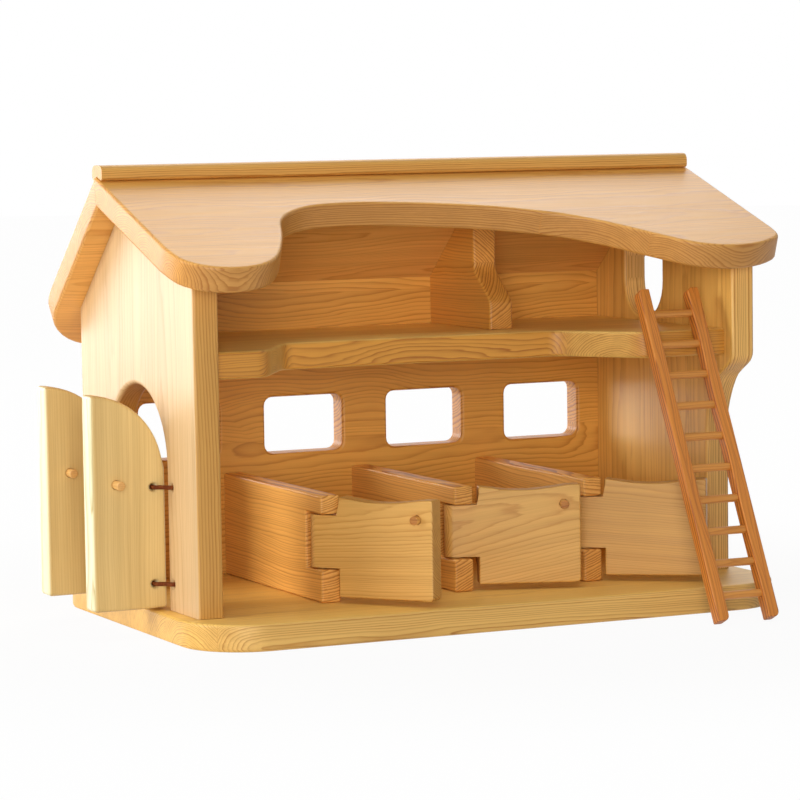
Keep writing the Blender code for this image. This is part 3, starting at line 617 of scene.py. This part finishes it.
class BARN_OT_walls(bpy.types.Operator):
    """Dress both gables and the back wall"""
    bl_idname = "toy_barn.walls"
    bl_label = "Gables and back wall"

    def execute(self, context):
        s = context.scene.barn_wood
        # the left gable is toned pale cream, a painted sheen for the lamps on its left; its front and back edges keep a
        # darker golden tone
        left = wood("left_gable_pine", Z, Y, centre_of("left_gable"), s.pale, s.pale_late, tone=(1.0, 1.19, 1.9),
            edge=(0.84, 0.65, 0.29), seed=11.0, end_grain=1.0, heart_depth=0.05, heart_drift=0.02, waver=0.002,
            line_strength=0.6, sway=0.010)
        dressed("left_gable", "left_gable_board", left)
        right = wood("right_gable_pine", Z, Y, centre_of("right_gable"), tone=(1.3, 1.5, 1.45), edge=(1.0, 1.0, 1.2),
            seed=21.0, heart_depth=0.05, heart_drift=0.02, waver=0.002, line_strength=0.7, sway=0.012)
        dressed("right_gable", "right_gable_board", right)
        back = wood("back_wall_pine", X, Z, centre_of("back_wall"), tone=(1.1, 1.05, 0.76), heart_offset=3.2,
            seed=5.0, strip_width=0.052, strip_shift=0.010, heart_depth=0.022, heart_drift=0.06, waver=0.006,
            ring_spacing=0.0026, sway=0.020, end_grain=0.3, line_strength=0.95, knots=0.6)
        dressed("back_wall", "back_wall_board", back)
        return {"FINISHED"}


class BARN_OT_loft(bpy.types.Operator):
    """Dress the loft's floor and divider"""
    bl_idname = "toy_barn.loft"
    bl_label = "Loft"

    def execute(self, context):
        # the loft floor is toned much paler, a painted stand-in for light on its top, and its front edge is painted
        # darker again
        floor = wood("loft_pine", X, Y, centre_of("loft_floor"), tone=(1.3, 1.7, 1.9), edge=(0.67, 0.44, 0.21),
            seed=7.0, ring_spacing=0.0014, heart_depth=0.020, heart_drift=0.04, line_strength=0.55, sway=0.018)
        dressed("loft_floor", "loft_board", floor)
        divider = wood("loft_divider_pine", Y, Z, centre_of("loft_divider"), tone=(1.12, 1.06, 0.79),
            heart_offset=2.4, seed=9.0, heart_depth=0.03, heart_drift=0.04, line_strength=0.9, sway=0.014)
        dressed("loft_divider", "loft_divider_board", divider)
        return {"FINISHED"}


class BARN_OT_roof(bpy.types.Operator):
    """Dress both roof boards and the ridge strip"""
    bl_idname = "toy_barn.roof"
    bl_label = "Roof"

    def execute(self, context):
        s = context.scene.barn_wood
        pitch = math.radians(FRONT_PITCH)
        front = wood("front_roof_pine", X, (0, math.cos(pitch), math.sin(pitch)), centre_of("roof_front"), s.pale,
            s.pale_late, tone=(1.07, 0.94, 0.60), edge=(0.74, 0.71, 0.80), heart_offset=0.8, seed=13.0,
            heart_depth=0.028, heart_drift=0.03, line_strength=0.9, ring_spacing=0.0016)
        dressed("roof_front", "front_roof_board", front)
        pitch = math.radians(REAR_PITCH)
        rear = wood("rear_roof_pine", X, (0, math.cos(pitch), -math.sin(pitch)), centre_of("roof_rear"), s.pale,
            s.pale_late, tone=(1.1, 1.0, 0.80), heart_offset=0.8, seed=15.0, heart_depth=0.028, heart_drift=0.03,
            line_strength=0.9)
        dressed("roof_rear", "rear_roof_board", rear)
        ridge = wood("ridge_pine", X, Y, centre_of("ridge_strip"), tone=(1.09, 1.14, 1.03), heart_offset=3.0,
            sway=0.003, waver=0.0006, ring_spacing=0.0016, seed=17.0, strip_width=WHOLE_BOARD, heart_depth=0.02,
            heart_drift=0.002, line_strength=0.5)
        dressed("ridge_strip", "ridge_strip_board", ridge)
        return {"FINISHED"}


class BARN_OT_stalls(bpy.types.Operator):
    """Dress the stall dividers and the gates' pins"""
    bl_idname = "toy_barn.stalls"
    bl_label = "Stall dividers"

    def execute(self, context):
        for i in (1, 2, 3):
            board = wood(f"divider_{i}_pine", Y, Z, centre_of(f"stall_divider_{i}"), tone=(1.22, 1.24, 1.15),
                edge=(1.12, 1.12, 1.15), heart_offset=2.6, seed=30.0 + i, strip_width=WHOLE_BOARD, heart_depth=0.03,
                heart_drift=0.05, line_strength=1.0, sway=0.016)
            dressed(f"stall_divider_{i}", f"stall_divider_board_{i}", board)
            pin = wood(f"pin_{i}_beech", Z, X, centre_of(f"gate_pin_{i}"), seed=40.0 + i, strip_width=WHOLE_BOARD,
                line_strength=0.4)
            dressed(f"gate_pin_{i}", f"gate_pin_rod_{i}", pin)
        return {"FINISHED"}


class BARN_OT_gates(bpy.types.Operator):
    """Dress the three stall gates and their pegs"""
    bl_idname = "toy_barn.gates"
    bl_label = "Stall gates"

    def execute(self, context):
        s = context.scene.barn_wood
        for i, turn in enumerate(GATE_TURNS, 1):
            a = math.radians(turn)
            run = Vector((math.cos(a), -math.sin(a), 0))
            lean = math.radians(GATE_GRAIN_LEANS[i - 1])
            grain = run * math.cos(lean) + Z * math.sin(lean)
            up = Z * math.cos(lean) - run * math.sin(lean)
            board = wood(f"gate_{i}_pine", grain, up, centre_of(f"stall_gate_{i}"), s.pale, s.pale_late, tone=(0.92,
                0.89, 0.69), heart_offset=0.3, strip_shift=0.075, ring_spacing=0.0014, seed=50.0 + i,
                strip_width=WHOLE_BOARD, heart_depth=0.03, heart_drift=0.04, line_strength=0.95, sway=0.010)
            dressed(f"stall_gate_{i}", f"gate_board_{i}", board)
            outward = Vector((-math.sin(a), -math.cos(a), 0))
            peg = wood(f"peg_{i}_beech", outward, Z, centre_of(f"gate_peg_{i}"), seed=60.0 + i,
                strip_width=WHOLE_BOARD, heart_depth=0.008, line_strength=0.5, end_grain=0.9)
            dressed(f"gate_peg_{i}", f"gate_peg_rod_{i}", peg)
        return {"FINISHED"}


class BARN_OT_doors(bpy.types.Operator):
    """Dress both barn doors and their knobs"""
    bl_idname = "toy_barn.doors"
    bl_label = "Barn doors"

    def execute(self, context):
        s = context.scene.barn_wood
        for k, side in enumerate(("front", "rear")):
            # the leaves' edges that face along X, among them the free edges towards the lamps on the left, are painted
            # much paler: a painted sheen
            leaf = wood(f"{side}_door_pine", Z, X, centre_of(f"barn_door_{side}"), s.pale, s.pale_late, tone=(0.95,
                1.17, 1.42), edge=(1.25, 1.7, 2.8), heart_offset=3.0, seed=70.0 + k, strip_width=WHOLE_BOARD,
                heart_depth=0.06, heart_drift=0.01, waver=0.002, line_strength=0.42, sway=0.008)
            dressed(f"barn_door_{side}", f"{side}_door_leaf", leaf)
            knob = wood(f"{side}_knob_beech", Y, Z, centre_of(f"door_knob_{side}"), s.pale, s.pale_late,
                seed=74.0 + k, strip_width=WHOLE_BOARD, heart_depth=0.01, line_strength=0.3)
            dressed(f"door_knob_{side}", f"{side}_door_knob", knob)
        return {"FINISHED"}


class BARN_OT_thongs(bpy.types.Operator):
    """Lay the leather thongs round the hinge corners"""
    bl_idname = "toy_barn.thongs"
    bl_label = "Hinge thongs"

    def execute(self, context):
        s = context.scene.barn_leather
        hide = leather("brown_leather")
        tree, ids = lace_tree()
        for side, turn in (("front", -1), ("rear", 1)):
            for k in (1, 2):
                node = f"hinge_thong_{side}_{k}"
                low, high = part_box(node)
                corner = Vector((DOOR_CORNER_X, DOOR_CORNER_Y * turn, (low.z + high.z) / 2))
                # away: along the wall from the doorway. out: out from the house
                away = Y * turn
                out = -X
                wall_in = high.x - corner.x
                leaf_in = abs(((low if turn > 0 else high) - corner).dot(away))
                path = [(s.inset, -wall_in), (s.inset, -s.sink)]
                for i in range(13):
                    angle = math.pi / 2 * i / 12
                    swell = 1 - s.bow / s.inset * math.sin(2 * angle)
                    path.append((s.inset * math.cos(angle) * swell, s.inset * math.sin(angle) * swell))
                path += [(-s.sink, s.inset), (-leaf_in, s.inset)]
                points = [corner + away * p + out * q for p, q in path]
                line = bpy.data.meshes.new(f"{node}_path")
                line.from_pydata([tuple(p) for p in points], [(i, i + 1) for i in range(len(points) - 1)], [])
                guide = bpy.data.objects.new(f"{node}_path", line)
                context.scene.collection.objects.link(guide)
                piece = grown(f"thong_{side}_{k}", tree, ids, {"Path": guide, "Thickness": s.thickness,
                    "Leather": hide})
                bpy.data.objects.remove(guide)
                piece.data.shade_smooth()
                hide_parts(node)
                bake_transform(piece)
        return {"FINISHED"}


class BARN_OT_ladder(bpy.types.Operator):
    """Dress the ladder's rails and grow its rungs"""
    bl_idname = "toy_barn.ladder"
    bl_label = "Ladder"

    def execute(self, context):
        s = context.scene.barn_ladder
        w = context.scene.barn_wood
        run = Vector((0, math.sin(s.lean), math.cos(s.lean)))
        for i in (1, 2):
            rail = wood(f"rail_{i}_wood", run, X, centre_of(f"ladder_rail_{i}"), w.red, w.red_late, tone=(1.26, 1.13,
                0.74), seed=80.0 + i, strip_width=WHOLE_BOARD, heart_depth=0.02, heart_drift=0.02, line_strength=0.8,
                ring_spacing=0.0022)
            dressed(f"ladder_rail_{i}", f"ladder_rail_board_{i}", rail)
        first, last = centre_of("ladder_rung_01"), centre_of(f"ladder_rung_{RUNGS:02d}")
        low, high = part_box("ladder_rung_01")
        tree, ids = dowels_tree()
        rung = wood("rung_beech", X, Y, first, w.early, w.late, tone=(1.0, 0.83, 0.66), seed=90.0,
            strip_width=WHOLE_BOARD, heart_depth=0.02, line_strength=0.35)
        rungs = grown("ladder_rungs", tree, ids, {
            "Count": RUNGS, "First": first, "Step": (last - first) / (RUNGS - 1), "Turn": (0, math.pi / 2,
                0), "Length": high.x - low.x,
            "Thickness": s.rung_thickness, "Rounding": s.rung_thickness / 12, "Sides": 28, "Wood": rung})
        shaded(rungs, context.scene.barn_wood.crease)
        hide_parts(*[f"ladder_rung_{k:02d}" for k in range(1, RUNGS + 1)])
        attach(rungs, "ladder")
        return {"FINISHED"}


# ---------------------------------------------------------------- stage

def seen_directly(n):
    """One for rays from the camera, off a gloss or through a clear piece, and nought for the light itself."""
    ray = n.add("ShaderNodeLightPath").outputs
    return n.math("MAXIMUM", n.math("MAXIMUM", ray["Is Camera Ray"], ray["Is Glossy Ray"]),
        ray["Is Transmission Ray"])


class BARN_OT_stage(bpy.types.Operator):
    """Lay the floor, hang the lamps and set the camera"""
    bl_idname = "toy_barn.stage"
    bl_label = "Stage"

    def execute(self, context):
        s = context.scene.barn_stage
        scene = context.scene
        shape = bmesh.new()
        bmesh.ops.create_circle(shape, cap_ends=True, segments=64, radius=FLOOR_RADIUS)
        mesh = bpy.data.meshes.new("studio_floor")
        shape.to_mesh(mesh)
        shape.free()
        floor = bpy.data.objects.new("studio_floor", mesh)
        scene.collection.objects.link(floor)
        mat = bpy.data.materials.new("floor_paper")
        mat.use_nodes = True
        tree = mat.node_tree
        tree.nodes.clear()
        n = Nodes(tree)
        paper = tree.nodes.new("ShaderNodeBsdfDiffuse")
        paper.inputs["Color"].default_value = rgba(s.floor)
        white = n.add("ShaderNodeEmission", (1, 1, 1, 1), 1.0)
        seen = seen_directly(n)
        where = n.add("ShaderNodeVectorMath", tree.nodes.new("ShaderNodeTexCoord").outputs["Object"],
            operation="LENGTH").outputs["Value"]
        share = n.math("MULTIPLY", seen, n.ramp(where, FLOOR_NEAR[0], FLOOR_FAR[0], FLOOR_NEAR[1], FLOOR_FAR[1]))
        mixed = n.add("ShaderNodeMixShader", share, paper.outputs[0], white.outputs[0])
        out = tree.nodes.new("ShaderNodeOutputMaterial")
        n.put(out.inputs[0], mixed.outputs[0])
        mesh.materials.append(mat)

        world = bpy.data.worlds.new("Studio")
        scene.world = world
        world.use_nodes = True
        tree = world.node_tree
        tree.nodes.clear()
        n = Nodes(tree)
        seen = seen_directly(n)
        room = n.add("ShaderNodeBackground", (1.0, 0.97, 0.93, 1), s.sky)
        white = n.add("ShaderNodeBackground", (1, 1, 1, 1), 1.0)
        mixed = n.add("ShaderNodeMixShader", seen, room.outputs[0], white.outputs[0])
        out = tree.nodes.new("ShaderNodeOutputWorld")
        n.put(out.inputs[0], mixed.outputs[0])

        def lamp(name, place, aim, size, power, colour):
            light = bpy.data.lights.new(name, "AREA")
            light.shape = "DISK"
            light.size = size
            light.energy = power
            light.color = colour
            made = bpy.data.objects.new(name, light)
            made.location = place
            made.rotation_euler = (Vector(aim) - Vector(place)).to_track_quat("-Z", "Y").to_euler()
            scene.collection.objects.link(made)

        lamp("key_lamp", (-2.6, 0.2, 0.9), (0, 0, 0.12), 1.2, s.key, (1.0, 0.98, 0.95))
        lamp("fill_lamp", (-1.15, -2.35, 0.55), (0, 0, 0.12), 1.0, s.fill, (1.0, 0.98, 0.95))
        lamp("side_lamp", (-1.15, 2.0, 0.45), (-0.1, 0, 0.15), 1.6, s.rim, (1.0, 1.0, 1.0))
        lamp("back_lamp", (0.95, 1.5, 1.7), (0, -0.1, 0.3), 1.2, s.back, (1.0, 1.0, 1.0))
        lamp("top_lamp", (-0.5, -0.4, 2.4), (0, 0, 0.12), 1.4, s.top, (1.0, 0.99, 0.97))

        lens = bpy.data.cameras.new("camera")
        lens.sensor_width = 36
        lens.lens = s.lens
        lens.clip_start = 0.05
        lens.clip_end = 60
        camera = bpy.data.objects.new("camera", lens)
        az, el, roll = (math.radians(a) for a in (CAMERA_AZIMUTH, CAMERA_ELEVATION, CAMERA_ROLL))
        forward = Vector((math.sin(az) * math.cos(el), math.cos(az) * math.cos(el), -math.sin(el)))
        level = Vector((math.cos(az), -math.sin(az), 0))
        below = forward.cross(level)
        right = level * math.cos(roll) + below * math.sin(roll)
        down = below * math.cos(roll) - level * math.sin(roll)
        turn = Matrix((right, -down, -forward)).transposed().to_4x4()
        turn.translation = Vector(CAMERA_PLACE)
        camera.matrix_world = turn
        scene.collection.objects.link(camera)
        scene.camera = camera
        scene.view_settings.view_transform = "Standard"
        return {"FINISHED"}


PIECES = (BARN_OT_base, BARN_OT_walls, BARN_OT_loft, BARN_OT_roof, BARN_OT_stalls, BARN_OT_gates, BARN_OT_doors,
    BARN_OT_thongs,
          BARN_OT_ladder, BARN_OT_stage)


class BARN_PT_panel(bpy.types.Panel):
    """Buttons and sizes of the toy barn"""
    bl_idname = "BARN_PT_panel"
    bl_label = "Toy barn"
    bl_space_type = "VIEW_3D"
    bl_region_type = "UI"
    bl_category = "Toy barn"

    def draw(self, context):
        for piece in PIECES:
            self.layout.operator(piece.bl_idname)
        for key, group in GROUPS.items():
            box = self.layout.box()
            for field in group.__annotations__:
                box.prop(getattr(context.scene, key), field)


def register():
    for key, group in GROUPS.items():
        bpy.utils.register_class(group)
        setattr(bpy.types.Scene, key, bpy.props.PointerProperty(type=group))
    for piece in PIECES:
        bpy.utils.register_class(piece)
    bpy.utils.register_class(BARN_PT_panel)


def unregister():
    bpy.utils.unregister_class(BARN_PT_panel)
    for piece in reversed(PIECES):
        bpy.utils.unregister_class(piece)
    for key, group in GROUPS.items():
        delattr(bpy.types.Scene, key)
        bpy.utils.unregister_class(group)


def main():
    register()
    bpy.ops.toy_barn.base()
    bpy.ops.toy_barn.walls()
    bpy.ops.toy_barn.loft()
    bpy.ops.toy_barn.roof()
    bpy.ops.toy_barn.stalls()
    bpy.ops.toy_barn.gates()
    bpy.ops.toy_barn.doors()
    bpy.ops.toy_barn.thongs()
    bpy.ops.toy_barn.ladder()
    bpy.ops.toy_barn.stage()


if __name__ == "__main__":
    main()
